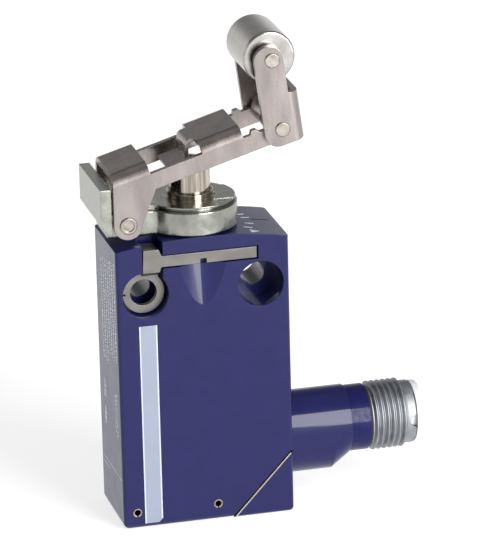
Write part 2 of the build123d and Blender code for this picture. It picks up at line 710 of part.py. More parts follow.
# ---------------------------------------------------------------- head retaining clip
CLIP_T = 1.0
CLIP_FRONT_Y = FRONT_Y + 0.25
RING_FRONT_Y = FRONT_Y + 1.8
RING_OUTER_R = 3.65
RING_INNER_R = 2.3
FORK_Z = 5.1
FORK_T = 1.0
FORK_HALF = 7.4
FORK_END_Y = MID_Y + 1.5

with BuildPart() as retaining_clip:
    # ring, set back in the left counterbore
    with BuildSketch(Plane.XZ.offset(-RING_FRONT_Y - CLIP_T)):
        with Locations((-HOLE_X, 0)):
            Circle(RING_OUTER_R)
        with BuildLine():
            Polyline((-12.7, 2.2), (-12.0, 3.3), (-10.6, 3.8), (-8.9, 3.75), (-7.6, 2.6), close=True)
        make_face()
        with Locations((-HOLE_X, 0)):
            Circle(RING_INNER_R, mode=Mode.SUBTRACT)
        with Locations((-13.55, -0.2)):
            Rectangle(0.8, 0.35, mode=Mode.SUBTRACT)
    extrude(amount=CLIP_T)
    # sloping step from the ring forward to the tab
    with BuildSketch(Plane(origin=(-10.3, 0, 0), x_dir=(0, 1, 0), z_dir=(1, 0, 0))):
        with BuildLine():
            Polyline(
                (RING_FRONT_Y + CLIP_T, 2.5),
                (RING_FRONT_Y, 2.5),
                (RING_FRONT_Y, 2.9),
                (CLIP_FRONT_Y, 3.9),
                (CLIP_FRONT_Y, 5.0),
                (CLIP_FRONT_Y + CLIP_T, 5.0),
                (CLIP_FRONT_Y + CLIP_T, 4.4),
                (RING_FRONT_Y + CLIP_T, 3.3),
                close=True,
            )
        make_face()
    extrude(amount=2.9)
    # tab and arm
    with BuildSketch(Plane.XZ.offset(-CLIP_FRONT_Y - CLIP_T)):
        with BuildLine():
            Polyline(
                (-10.3, 4.6),
                (-10.15, 7.8),
                (-7.5, 7.8),
                (-7.0, 6.6),
                (9.45, 6.6),
                (9.45, 4.65),
                (0.75, 4.65),
                (0.75, 5.45),
                (-0.35, 5.45),
                (-0.35, 4.65),
                (-7.1, 4.65),
                (-7.4, 3.8),
                (-10.3, 3.8),
                close=True,
            )
        make_face()
    extrude(amount=CLIP_T)
    # lip bent back over the top of the tab
    with BuildSketch(Plane.XY.offset(7.0)):
        with Locations((-8.85, CLIP_FRONT_Y + 2.0)):
            Rectangle(2.5, 4.0)
    extrude(amount=0.8)
    # fork that enters the head's groove
    with BuildSketch(Plane.XY.offset(FORK_Z)):
        with Locations((0, (CLIP_FRONT_Y + CLIP_T + FORK_END_Y) / 2)):
            Rectangle(2 * FORK_HALF, FORK_END_Y - CLIP_FRONT_Y - CLIP_T)
        with Locations((0, MID_Y)):
            Circle(GROOVE_R + 0.1, mode=Mode.SUBTRACT)
        with Locations((0, MID_Y + 2.0)):
            Rectangle(2 * GROOVE_R + 0.2, 4.0, mode=Mode.SUBTRACT)
    extrude(amount=FORK_T)
save(retaining_clip, "retaining_clip")

# ---------------------------------------------------------------- label strip
with BuildPart() as label_strip:
    with BuildSketch(Plane.XZ.offset(BODY_D)):
        with BuildLine():
            Polyline(
                (-11.35, -5.4), (-11.35, -41.0), (-8.9, -41.0), (-8.25, -40.3), (-8.25, -5.4), close=True
            )
        make_face()
    extrude(amount=0.12)
save(label_strip, "label_strip")

# ---------------------------------------------------------------- lever
LEVER_END = YOKE_PIN_ALONG + 4.0
TONGUE_HALF_W = 3.0


def in_arm(x, z):
    """Turns a point beside the pivot, level axes, into the arm's own side-view axes."""
    return (x * ARM_COS + z * ARM_SIN, -x * ARM_SIN + z * ARM_COS)


with BuildPart() as lever:
    # folded channel: two side plates joined by a top with generous bends
    with BuildSketch(Plane(origin=ARM_PLANE.origin, x_dir=(0, 1, 0), z_dir=ARM_PLANE.x_dir).offset(-5)):
        with Locations((0, SADDLE_TOP / 2 - 3)):
            channel = Rectangle(LEVER_W, SADDLE_TOP + 6)
        fillet(channel.vertices().group_by(Axis.Z)[-1], radius=BEND_R)
        with Locations((0, SADDLE_TOP / 2 - 3 - SHEET_T)):
            hollow = Rectangle(LEVER_W - 2 * SHEET_T, SADDLE_TOP + 6, mode=Mode.PRIVATE)
        add(hollow, mode=Mode.SUBTRACT)
    extrude(amount=LEVER_END + 5)
    with BuildSketch(ARM_PLANE.offset(-LEVER_W)) as side_outline:
        with BuildLine():
            Polyline(
                in_arm(-FOOT_R, 0),
                in_arm(-FOOT_R, 8.9),
                (SADDLE_1_END, SADDLE_TOP),
                (SADDLE_1_END, ARM_HIGH),
                (SADDLE_2_START, ARM_HIGH),
                (SADDLE_2_START, SADDLE_TOP),
                (SADDLE_2_END, SADDLE_TOP),
                (SADDLE_2_END, ARM_HIGH),
                (YOKE_PIN_ALONG + 2.1, ARM_HIGH),
                (YOKE_PIN_ALONG + 2.1, YOKE_PIN_ABOVE),
            )
            ThreePointArc(
                (YOKE_PIN_ALONG + 2.1, YOKE_PIN_ABOVE),
                (YOKE_PIN_ALONG + 1.5, YOKE_PIN_ABOVE - 1.5),
                (YOKE_PIN_ALONG, ARM_LOW),
            )
            Polyline((YOKE_PIN_ALONG, ARM_LOW), (6.4, ARM_LOW), in_arm(FOOT_R, 0))
            ThreePointArc(in_arm(FOOT_R, 0), in_arm(0, -FOOT_R), in_arm(-FOOT_R, 0))
        make_face()
    extrude(amount=2 * LEVER_W, mode=Mode.INTERSECT)

    # flat ears round the yoke pin
    for inner in (LEVER_W / 2 - SHEET_T, -LEVER_W / 2):
        with BuildSketch(ARM_PLANE.offset(inner)):
            with BuildLine():
                Polyline(
                    (24.4, YOKE_PIN_ABOVE),
                    (24.4, ARM_HIGH),
                    (24.7, 8.0),
                    (25.5, 8.0),
                    (26.1, ARM_HIGH),
                    (28.2, ARM_HIGH),
                    (28.9, 8.6),
                    (YOKE_PIN_ALONG + 1.3, 8.6),
                    (YOKE_PIN_ALONG + 2.1, 7.6),
                    (YOKE_PIN_ALONG + 2.1, YOKE_PIN_ABOVE),
                    close=True,
                )
            make_face()
        extrude(amount=SHEET_T)

    # finger that turns down from the second saddle and folds into a flat foot on the plunger
    with BuildSketch(ARM_PLANE.offset(-TONGUE_HALF_W)):
        with BuildLine():
            Line((SADDLE_2_START + 0.4, SADDLE_TOP), (SADDLE_2_START - 0.7, SADDLE_TOP))
            ThreePointArc(
                (SADDLE_2_START - 0.7, SADDLE_TOP),
                (FINGER_FOLD + 1.05, SADDLE_TOP - 0.25),
                (FINGER_FOLD + 0.65, SADDLE_TOP - 0.9),
            )
            Polyline(
                (FINGER_FOLD + 0.65, SADDLE_TOP - 0.9),
                (FINGER_FOLD, FINGER_LOW + FINGER_T),
                (FINGER_TIP, FINGER_LOW + FINGER_T),
                (FINGER_TIP, FINGER_LOW),
                (FINGER_FOLD + 0.2, FINGER_LOW),
                (FINGER_FOLD + 0.65, FINGER_LOW + 0.4),
                (FINGER_FOLD + 1.25, SADDLE_TOP - 1.1),
            )
            ThreePointArc(
                (FINGER_FOLD + 1.25, SADDLE_TOP - 1.1),
                (FINGER_FOLD + 1.45, SADDLE_TOP - 0.75),
                (SADDLE_2_START - 0.7, SADDLE_TOP - FINGER_T),
            )
            Polyline(
                (SADDLE_2_START - 0.7, SADDLE_TOP - FINGER_T),
                (SADDLE_2_START + 0.4, SADDLE_TOP - FINGER_T),
                (SADDLE_2_START + 0.4, SADDLE_TOP),
            )
        make_face()
    extrude(amount=2 * TONGUE_HALF_W)

    # pivot and yoke-pin holes
    with BuildSketch(ARM_PLANE.offset(-LEVER_W)):
        Circle(PIVOT_PIN_R)
        with Locations((YOKE_PIN_ALONG, YOKE_PIN_ABOVE)):
            Circle(SMALL_PIN_R + RUNNING)
    extrude(amount=2 * LEVER_W, mode=Mode.SUBTRACT)
save(lever, "lever")

with BuildPart() as lever_pin:
    with BuildSketch(across(PIVOT_X, PIVOT_Z, MID_Y + LEVER_W / 2 + 0.2)):
        Circle(PIVOT_PIN_R)
    extrude(amount=LEVER_W + 0.4)
    chamfer(lever_pin.edges().filter_by(GeomType.CIRCLE), length=0.15)
    for end_y, depth in ((MID_Y + LEVER_W / 2 + 0.2, 0.25), (MID_Y - LEVER_W / 2 - 0.2, -0.25)):
        with BuildSketch(across(PIVOT_X, PIVOT_Z, end_y)):
            Circle(1.0)
        extrude(amount=depth, mode=Mode.SUBTRACT)
save(lever_pin, "lever_pin")

# ---------------------------------------------------------------- yoke
YOKE_INNER = YOKE_W - 2 * SHEET_T
YOKE_TOP_R = (YOKE_LEFT + YOKE_RIGHT) / 2
YOKE_TOP_V = (YOKE_RIGHT - YOKE_LEFT) / 2

with BuildPart() as yoke:
    # folded channel seen from above: two plates joined by a web on the connector side
    with BuildSketch(Plane(origin=YOKE_PLANE.origin, x_dir=YOKE_PLANE.x_dir, z_dir=YOKE_PLANE.y_dir).offset(-4)):
        with Locations((WEB_OUTER / 2 - 3, 0)):
            channel = Rectangle(WEB_OUTER + 6, YOKE_W)
        fillet(channel.vertices().group_by(Axis.X)[-1], radius=YOKE_BEND_R)
        with Locations((WEB_OUTER / 2 - 3 - SHEET_T, 0)):
            hollow = Rectangle(WEB_OUTER + 6, YOKE_INNER, mode=Mode.PRIVATE)
        add(hollow, mode=Mode.SUBTRACT)
    extrude(amount=YOKE_LENGTH + 10)
    with BuildSketch(YOKE_PLANE.offset(-YOKE_W)):
        with BuildLine():
            Polyline(
                (-YOKE_LEFT, -0.2),
                (-YOKE_LEFT, YOKE_LENGTH),
            )
            ThreePointArc(
                (-YOKE_LEFT, YOKE_LENGTH),
                (YOKE_TOP_V, YOKE_LENGTH + YOKE_TOP_R),
                (YOKE_RIGHT, YOKE_LENGTH),
            )
            Polyline(
                (YOKE_RIGHT, YOKE_LENGTH),
                (YOKE_RIGHT, WEB_TOP),
                (WEB_OUTER, WEB_TOP),
                (WEB_OUTER, -2.3),
                (-0.6, -2.85),
            )
            ThreePointArc((-0.6, -2.85), (-2.5, -2.1), (-YOKE_LEFT, -0.2))
        make_face()
    extrude(amount=2 * YOKE_W, mode=Mode.INTERSECT)
    with BuildSketch(YOKE_PLANE.offset(-YOKE_W)):
        Circle(SMALL_PIN_R)
        with Locations((0, YOKE_LENGTH)):
            Circle(SMALL_PIN_R)
    extrude(amount=2 * YOKE_W, mode=Mode.SUBTRACT)
save(yoke, "yoke")


def headed_pin(x, z):
    """A riveted pin along Y through the yoke, with a low head on each side."""
    with BuildPart() as pin:
        with BuildSketch(across(x, z, MID_Y + YOKE_W / 2)):
            Circle(SMALL_PIN_R)
        extrude(amount=YOKE_W)
        for head_y in (MID_Y + YOKE_W / 2 + SMALL_HEAD_T, MID_Y - YOKE_W / 2):
            with BuildSketch(across(x, z, head_y)):
                Circle(SMALL_HEAD_R)
            extrude(amount=SMALL_HEAD_T)
        ends = pin.edges().filter_by(GeomType.CIRCLE).group_by(Axis.Y)
        chamfer(ends[0] + ends[-1], length=0.15)
    return pin


yoke_pin = headed_pin(YOKE_PIN_X, YOKE_PIN_Z)
save(yoke_pin, "yoke_pin")
roller_pin = headed_pin(ROLLER_X, ROLLER_Z)
save(roller_pin, "roller_pin")

# ---------------------------------------------------------------- roller and its washers
with BuildPart() as roller:
    with BuildSketch(across(ROLLER_X, ROLLER_Z, MID_Y + ROLLER_LENGTH / 2)):
        Circle(ROLLER_R)
        Circle(SMALL_PIN_R + RUNNING, mode=Mode.SUBTRACT)
    extrude(amount=ROLLER_LENGTH)
    outer_edges = roller.edges().filter_by(GeomType.CIRCLE).sort_by(SortBy.RADIUS)[-2:]
    fillet(outer_edges, radius=0.45)
save(roller, "roller")

WASHER_T = (YOKE_INNER - ROLLER_LENGTH) / 2 - 0.04

with BuildPart() as roller_washers:
    for washer_y in (MID_Y + YOKE_INNER / 2, MID_Y - YOKE_INNER / 2 + WASHER_T):
        with BuildSketch(across(ROLLER_X, ROLLER_Z, washer_y)):
            Circle(2.1)
            Circle(SMALL_PIN_R, mode=Mode.SUBTRACT)
        extrude(amount=WASHER_T)
save(roller_washers, "roller_washers")

# ---------------------------------------------------------------- yoke bush and torsion spring
BUSH_REAR_Y = MID_Y + LEVER_W / 2 - SHEET_T
YOKE_BUSH_LENGTH = 6.0

with BuildPart() as yoke_bush:
    with BuildSketch(across(YOKE_PIN_X, YOKE_PIN_Z, BUSH_REAR_Y)):
        Circle(2.05)
        Circle(SMALL_PIN_R + RUNNING, mode=Mode.SUBTRACT)
    extrude(amount=YOKE_BUSH_LENGTH)
save(yoke_bush, "yoke_bush")

COIL_LENGTH = LEVER_W - 2 * SHEET_T - YOKE_BUSH_LENGTH - 0.1
yoke_spring = coil(across(YOKE_PIN_X, YOKE_PIN_Z, BUSH_REAR_Y - YOKE_BUSH_LENGTH - 0.05), 1.6, 0.3, 5, COIL_LENGTH)
save(yoke_spring, "yoke_spring")

# ---------------------------------------------------------------- contact block
CASE_W = 25.0
CASE_FRONT_Y = -13.4
CASE_BACK_Y = -2.6
CASE_LOW_Z = -24.5
CASE_HIGH_Z = -8.5
CASE_WALL = 1.0
ROD_TOP_Z = STEM_LOW_Z - 0.05
ROD_R = 1.9
CARRIER_W = 4.0
CARRIER_D = 5.0
WINDOW_LOW_Z = -17.2
WINDOW_HIGH_Z = -11.6
BRIDGE_T = 0.6
BRIDGE_HALF = 8.5
BRIDGE_W = 3.0
BUTTON_T = 0.45
CONTACT_GAP = 1.3
BRIDGE_LOW_Z = WINDOW_LOW_Z + 0.02
BRIDGE_HIGH_Z = BRIDGE_LOW_Z + BRIDGE_T
CASE_MID_Y = (CASE_FRONT_Y + CASE_BACK_Y) / 2

with BuildPart() as contact_case:
    with BuildSketch(Plane.XZ.offset(-CASE_BACK_Y)):
        with Locations((0, (CASE_LOW_Z + CASE_HIGH_Z) / 2)):
            RectangleRounded(CASE_W, CASE_HIGH_Z - CASE_LOW_Z, 0.8)
    extrude(amount=CASE_BACK_Y - CASE_FRONT_Y - CASE_WALL)
    with BuildSketch(Plane.XZ.offset(-CASE_BACK_Y + CASE_WALL)):
        with Locations((0, (CASE_LOW_Z + CASE_HIGH_Z) / 2)):
            Rectangle(CASE_W - 2 * CASE_WALL, CASE_HIGH_Z - CASE_LOW_Z - 2 * CASE_WALL)
    extrude(amount=20, mode=Mode.SUBTRACT)
    with BuildSketch(HEAD_PLANE.offset(CASE_HIGH_Z - 2)):
        Circle(ROD_R + 0.1)
    extrude(amount=4, mode=Mode.SUBTRACT)
save(contact_case, "contact_case")

with BuildPart() as contact_cover:
    with BuildSketch(Plane.XZ.offset(-CASE_FRONT_Y - CASE_WALL)):
        with Locations((0, (CASE_LOW_Z + CASE_HIGH_Z) / 2)):
            RectangleRounded(CASE_W, CASE_HIGH_Z - CASE_LOW_Z, 0.8)
    extrude(amount=CASE_WALL)
save(contact_cover, "contact_cover")

with BuildPart() as push_rod:
    with BuildSketch(HEAD_PLANE.offset(WINDOW_HIGH_Z + 1.0)):
        Circle(ROD_R)
    extrude(amount=ROD_TOP_Z - WINDOW_HIGH_Z - 1.0)
    with BuildSketch(HEAD_PLANE.offset(WINDOW_LOW_Z - 1.0)):
        Rectangle(CARRIER_W, CARRIER_D)
    extrude(amount=WINDOW_HIGH_Z - WINDOW_LOW_Z + 2.0)
    with BuildSketch(HEAD_PLANE.offset(WINDOW_LOW_Z)):
        Rectangle(CARRIER_W + 1, BRIDGE_W + 0.2)
    extrude(amount=WINDOW_HIGH_Z - WINDOW_LOW_Z, mode=Mode.SUBTRACT)
save(push_rod, "push_rod")

with BuildPart() as contact_bridge:
    with BuildSketch(HEAD_PLANE.offset(BRIDGE_LOW_Z)):
        RectangleRounded(2 * BRIDGE_HALF, BRIDGE_W, 0.8)
    extrude(amount=BRIDGE_T)
    for button_z in (BRIDGE_HIGH_Z, BRIDGE_LOW_Z - BUTTON_T):
        with BuildSketch(HEAD_PLANE.offset(button_z)):
            with Locations((-BRIDGE_HALF + 1.5, 0), (BRIDGE_HALF - 1.5, 0)):
                Circle(1.1)
        extrude(amount=BUTTON_T)
save(contact_bridge, "contact_bridge")

BRIDGE_SPRING_HEIGHT = WINDOW_HIGH_Z - BRIDGE_HIGH_Z - 0.04
bridge_spring = coil(HEAD_PLANE.offset(BRIDGE_HIGH_Z + 0.02), 1.0, 0.2, 5, BRIDGE_SPRING_HEIGHT)
save(bridge_spring, "bridge_spring")

CLOSED_BUTTON_Z = BRIDGE_HIGH_Z + BUTTON_T + 0.03
OPEN_BUTTON_Z = BRIDGE_LOW_Z - BUTTON_T - CONTACT_GAP - 0.4
BUTTON_X = BRIDGE_HALF - 1.5
FINGER_X = BRIDGE_HALF - 3.0
CLOSED_LEG_X = 10.8
OPEN_LEG_X = 9.1
LEG_BASE_Z = CASE_LOW_Z + CASE_WALL

with BuildPart() as closed_contacts:
    with BuildSketch(HEAD_PLANE.offset(CLOSED_BUTTON_Z)):
        with Locations((-BUTTON_X, 0), (BUTTON_X, 0)):
            Circle(1.1)
    extrude(amount=0.4)
    with BuildSketch(HEAD_PLANE.offset(CLOSED_BUTTON_Z + 0.4)):
        for side in (-1, 1):
            with Locations((side * (FINGER_X + CLOSED_LEG_X + 0.4) / 2, 0)):
                Rectangle(CLOSED_LEG_X + 0.4 - FINGER_X, 2.6)
    extrude(amount=0.7)
    with BuildSketch(HEAD_PLANE.offset(LEG_BASE_Z)):
        with Locations((-CLOSED_LEG_X, 0), (CLOSED_LEG_X, 0)):
            Rectangle(0.8, 2.6)
    extrude(amount=CLOSED_BUTTON_Z + 0.5 - LEG_BASE_Z)
save(closed_contacts, "closed_contacts")

with BuildPart() as open_contacts:
    with BuildSketch(HEAD_PLANE.offset(OPEN_BUTTON_Z)):
        with Locations((-BUTTON_X, 0), (BUTTON_X, 0)):
            Circle(1.1)
    extrude(amount=0.4)
    with BuildSketch(HEAD_PLANE.offset(OPEN_BUTTON_Z - 0.7)):
        for side in (-1, 1):
            with Locations((side * (FINGER_X + OPEN_LEG_X + 0.4) / 2, 0)):
                Rectangle(OPEN_LEG_X + 0.4 - FINGER_X, 2.6)
    extrude(amount=0.7)
    with BuildSketch(HEAD_PLANE.offset(LEG_BASE_Z)):
        with Locations((-OPEN_LEG_X, 0), (OPEN_LEG_X, 0)):
            Rectangle(0.8, 2.6)
    extrude(amount=OPEN_BUTTON_Z - 0.1 - LEG_BASE_Z)
save(open_contacts, "open_contacts")
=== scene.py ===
"""Looks for the limit switch: materials, printed marks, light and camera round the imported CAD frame."""

import json
import math

import bmesh
import bpy
from mathutils import Matrix, Vector


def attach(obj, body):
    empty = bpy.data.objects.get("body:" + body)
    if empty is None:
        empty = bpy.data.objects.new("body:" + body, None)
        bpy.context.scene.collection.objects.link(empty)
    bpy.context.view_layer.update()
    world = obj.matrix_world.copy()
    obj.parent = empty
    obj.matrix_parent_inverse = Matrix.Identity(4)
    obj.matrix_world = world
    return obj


MM = 0.001
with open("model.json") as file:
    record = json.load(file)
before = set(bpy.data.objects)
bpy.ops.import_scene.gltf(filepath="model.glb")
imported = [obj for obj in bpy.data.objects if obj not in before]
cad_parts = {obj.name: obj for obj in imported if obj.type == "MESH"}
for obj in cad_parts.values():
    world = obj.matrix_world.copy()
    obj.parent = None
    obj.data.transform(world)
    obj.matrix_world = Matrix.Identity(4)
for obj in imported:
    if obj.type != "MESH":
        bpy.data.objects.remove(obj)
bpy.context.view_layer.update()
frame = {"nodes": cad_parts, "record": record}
nodes = frame["nodes"]


# ---------------------------------------------------------------- shader helpers
def new_material(name):
    """A node material with its Principled shader, and the two."""
    material = bpy.data.materials.new(name)
    material.use_nodes = True
    return material, principled(material)


def principled(material):
    return material.node_tree.nodes["Principled BSDF"]


def add(material, kind, **values):
    """Adds a shader node and sets its inputs by name."""
    node = material.node_tree.nodes.new(kind)
    for key, value in values.items():
        if key in node.inputs:
            node.inputs[key].default_value = value
        else:
            setattr(node, key, value)
    return node


def link(material, source, target):
    material.node_tree.links.new(source, target)


def coordinates(material, scale=(1, 1, 1)):
    """Row-frame coordinates in millimetres, times scale."""
    place = add(material, "ShaderNodeTexCoord")
    mapping = add(material, "ShaderNodeMapping")
    mapping.inputs["Scale"].default_value = [1000.0 * s for s in scale]
    link(material, place.outputs["Object"], mapping.inputs["Vector"])
    return mapping.outputs["Vector"]


def noise(material, vector, scale, detail=3.0, roughness=0.5):
    texture = add(material, "ShaderNodeTexNoise")
    texture.inputs["Scale"].default_value = scale
    texture.inputs["Detail"].default_value = detail
    texture.inputs["Roughness"].default_value = roughness
    link(material, vector, texture.inputs["Vector"])
    return texture.outputs["Fac"]


def spread(material, value, low, high, from_low=0.3, from_high=0.7):
    """Maps a noise value onto low to high."""
    node = add(material, "ShaderNodeMapRange")
    node.inputs["From Min"].default_value = from_low
    node.inputs["From Max"].default_value = from_high
    node.inputs["To Min"].default_value = low
    node.inputs["To Max"].default_value = high
    link(material, value, node.inputs["Value"])
    return node.outputs["Result"]


def tint(material, value, dark, light):
    """Colour between dark and light by value."""
    node = add(material, "ShaderNodeMix", data_type="RGBA")
    link(material, value, node.inputs[0])
    node.inputs[6].default_value = (*dark, 1)
    node.inputs[7].default_value = (*light, 1)
    return node.outputs[2]


def past(material, axis, limit_mm):
    """1 where the row-frame coordinate on axis is over limit_mm, else 0."""
    axes = add(material, "ShaderNodeSeparateXYZ")
    link(material, coordinates(material), axes.inputs["Vector"])
    test = add(material, "ShaderNodeMath", operation="GREATER_THAN")
    link(material, axes.outputs[axis], test.inputs[0])
    test.inputs[1].default_value = limit_mm
    return test.outputs[0]


def recolour(material, where, colour):
    """Puts colour over the base colour where the mask is 1."""
    target = principled(material).inputs["Base Color"]
    mix = add(material, "ShaderNodeMix", data_type="RGBA")
    link(material, where, mix.inputs[0])
    link(material, target.links[0].from_socket, mix.inputs[6])
    mix.inputs[7].default_value = (*colour, 1)
    link(material, mix.outputs[2], target)


def bump(material, shader, height, strength, distance_mm, edge_mm):
    """Fine relief over edges that catch light as if rounded to edge_mm."""
    edge = add(material, "ShaderNodeBevel")
    edge.samples = 6
    edge.inputs["Radius"].default_value = edge_mm * MM
    node = add(material, "ShaderNodeBump")
    link(material, edge.outputs["Normal"], node.inputs["Normal"])
    node.inputs["Strength"].default_value = strength
    node.inputs["Distance"].default_value = distance_mm * MM
    link(material, height, node.inputs["Height"])
    link(material, node.outputs["Normal"], shader.inputs["Normal"])


def finish_material(
    name,
    dark,
    light,
    metallic,
    rough,
    colour_scale,
    bump_scale,
    bump_mm,
    stretch=(1, 1, 1),
    coat=0.0,
    coat_rough=0.1,
    specular=0.5,
    edge_mm=0.12,
):
    """One procedural finish: mottled colour, uneven roughness and a fine surface relief."""
    material, shader = new_material(name)
    vector = coordinates(material, stretch)
    broad = noise(material, vector, colour_scale, 4.0, 0.6)
    fine = noise(material, vector, bump_scale, 3.0, 0.6)
    link(material, tint(material, spread(material, broad, 0, 1), dark, light), shader.inputs["Base Color"])
    link(material, spread(material, broad, rough[0], rough[1]), shader.inputs["Roughness"])
    shader.inputs["Metallic"].default_value = metallic
    shader.inputs["Coat Weight"].default_value = coat
    shader.inputs["Coat Roughness"].default_value = coat_rough
    shader.inputs["Specular IOR Level"].default_value = specular
    bump(material, shader, fine, 0.5, bump_mm, edge_mm)
    return material


# ---------------------------------------------------------------- finishes
PAINT_COAT = 0.5
paint = finish_material(
    "body_paint", (0.0060, 0.0070, 0.062), (0.0080, 0.0090, 0.073), 0.0, (0.30, 0.38), 0.25, 1.2, 0.003,
    coat=PAINT_COAT, coat_rough=0.05, specular=0.1, edge_mm=0.3,
)
zinc = finish_material(
    "zinc_plate", (0.24, 0.25, 0.222), (0.40, 0.405, 0.362), 1.0, (0.18, 0.34), 0.35, 1.6, 0.014, edge_mm=0.25
)
sheet = finish_material(
    "steel_sheet", (0.262, 0.232, 0.222), (0.345, 0.308, 0.296), 1.0, (0.22, 0.32), 0.3, 3.0, 0.004,
    stretch=(1, 1, 0.25),
)
pin = finish_material(
    "steel_pin", (0.28, 0.255, 0.228), (0.42, 0.38, 0.345), 1.0, (0.24, 0.36), 0.8, 3.0, 0.006
)
roller_steel = finish_material(
    "steel_roller", (0.345, 0.328, 0.314), (0.47, 0.45, 0.43), 1.0, (0.20, 0.28), 0.5, 2.0, 0.002,
    stretch=(1, 6, 1),
)
# Polished steel streaked along Z from near black to bright: partly real polish streaks, partly painted
# reflection of dark and bright surroundings.
polished_streaks_and_reflection = finish_material(
    "polished_steel", (0.085, 0.075, 0.062), (0.68, 0.60, 0.51), 1.0, (0.06, 0.13), 0.8, 3.0, 0.002,
    stretch=(1, 1, 0.04),
)
spring_wire = finish_material(
    "spring_steel", (0.30, 0.30, 0.31), (0.45, 0.45, 0.45), 1.0, (0.25, 0.40), 1.2, 4.0, 0.004, edge_mm=0.02
)
clip_steel = finish_material(
    "clip_steel", (0.15, 0.144, 0.136), (0.212, 0.203, 0.192), 1.0, (0.34, 0.46), 0.4, 3.0, 0.006,
    stretch=(0.4, 1, 1),
)
rubber = finish_material(
    "black_rubber", (0.010, 0.010, 0.010), (0.022, 0.022, 0.022), 0.0, (0.55, 0.75), 0.8, 4.0, 0.01,
    edge_mm=0.05,
)
plug_paint = finish_material(
    "plug_paint", (0.007, 0.0075, 0.055), (0.009, 0.0095, 0.065), 0.0, (0.34, 0.44), 0.3, 1.2, 0.003,
    specular=0.3,
)
nickel = finish_material(
    "connector_metal", (0.25, 0.262, 0.275), (0.40, 0.412, 0.43), 1.0, (0.46, 0.60), 0.5, 3.0, 0.035,
    edge_mm=0.06,
)
insert_white = finish_material(
    "white_insert", (0.66, 0.66, 0.70), (0.72, 0.72, 0.76), 0.0, (0.30, 0.42), 0.4, 3.0, 0.006
)
principled(insert_white).inputs["Subsurface Weight"].default_value = 0.3
principled(insert_white).inputs["Subsurface Radius"].default_value = (2 * MM, 2 * MM, 2 * MM)
brass = finish_material(
    "brass_contact", (0.62, 0.44, 0.16), (0.78, 0.58, 0.26), 1.0, (0.20, 0.32), 0.8, 4.0, 0.004
)
silver = finish_material(
    "silver_contact", (0.60, 0.48, 0.26), (0.72, 0.62, 0.42), 1.0, (0.25, 0.38), 0.5, 4.0, 0.004
)
black_moulding = finish_material(
    "black_moulding", (0.018, 0.018, 0.020), (0.028, 0.028, 0.030), 0.0, (0.45, 0.60), 0.5, 2.5, 0.02
)
natural = finish_material(
    "clear_cover", (0.50, 0.50, 0.46), (0.60, 0.60, 0.56), 0.0, (0.40, 0.50), 0.4, 2.5, 0.01
)
hollow_pin = finish_material(
    "hollow_pin", (0.26, 0.235, 0.19), (0.42, 0.38, 0.31), 1.0, (0.30, 0.45), 1.0, 4.0, 0.01, edge_mm=0.05
)
gasket_paper = finish_material(
    "pale_gasket", (0.27, 0.25, 0.215), (0.36, 0.335, 0.29), 0.0, (0.55, 0.70), 0.6, 3.0, 0.01, edge_mm=0.03
)
screw_steel = finish_material(
    "screw_steel", (0.36, 0.37, 0.38), (0.52, 0.53, 0.53), 1.0, (0.28, 0.42), 0.8, 3.0, 0.008
)
label_film = finish_material(
    "label", (0.235, 0.266, 0.342), (0.256, 0.286, 0.365), 0.0, (0.35, 0.45), 0.2, 3.0, 0.003, edge_mm=0.03
)

# The collar beyond the barrel's end stays as cast under its paint, so it is duller and lumpier.
COLLAR_START_X = 26.2
on_collar = past(paint, "X", COLLAR_START_X)
lumps = noise(paint, coordinates(paint), 0.9, 3.0, 0.6)
collar_coat = add(paint, "ShaderNodeMix", data_type="FLOAT")
link(paint, on_collar, collar_coat.inputs[0])
collar_coat.inputs[2].default_value = PAINT_COAT
link(paint, spread(paint, lumps, 0.10, 0.30), collar_coat.inputs[3])
link(paint, collar_coat.outputs[0], principled(paint).inputs["Coat Weight"])
collar_lumps = add(paint, "ShaderNodeMath", operation="MULTIPLY")
link(paint, on_collar, collar_lumps.inputs[0])
link(paint, lumps, collar_lumps.inputs[1])
collar_bump = add(paint, "ShaderNodeBump")
collar_bump.inputs["Strength"].default_value = 0.8
collar_bump.inputs["Distance"].default_value = 0.10 * MM
link(paint, collar_lumps.outputs[0], collar_bump.inputs["Height"])
fine_bump = principled(paint).inputs["Normal"].links[0].from_node
link(paint, fine_bump.inputs["Normal"].links[0].from_socket, collar_bump.inputs["Normal"])
link(paint, collar_bump.outputs["Normal"], fine_bump.inputs["Normal"])

# Only the gasket's front edge keeps its pale colour; inside the seam the gasket is painted near black,
# painted shade that makes the seam read as a dark line.
GASKET_SHADE_FROM_Y = -15.85
recolour(gasket_paper, past(gasket_paper, "Y", GASKET_SHADE_FROM_Y), (0.004, 0.004, 0.006))

# Pale margins down both sides of the label; marks printed elsewhere take the pale colour too.
LABEL_MIDDLE_X = -9.8
LABEL_FIELD_HALF = 1.33
label_axes = add(label_film, "ShaderNodeSeparateXYZ")
link(label_film, coordinates(label_film), label_axes.inputs["Vector"])
from_middle = add(label_film, "ShaderNodeMath", operation="SUBTRACT")
link(label_film, label_axes.outputs["X"], from_middle.inputs[0])
from_middle.inputs[1].default_value = LABEL_MIDDLE_X
distance = add(label_film, "ShaderNodeMath", operation="ABSOLUTE")
link(label_film, from_middle.outputs[0], distance.inputs[0])
outside = add(label_film, "ShaderNodeMath", operation="GREATER_THAN")
link(label_film, distance.outputs[0], outside.inputs[0])
outside.inputs[1].default_value = LABEL_FIELD_HALF
recolour(label_film, outside.outputs[0], (0.50, 0.54, 0.60))

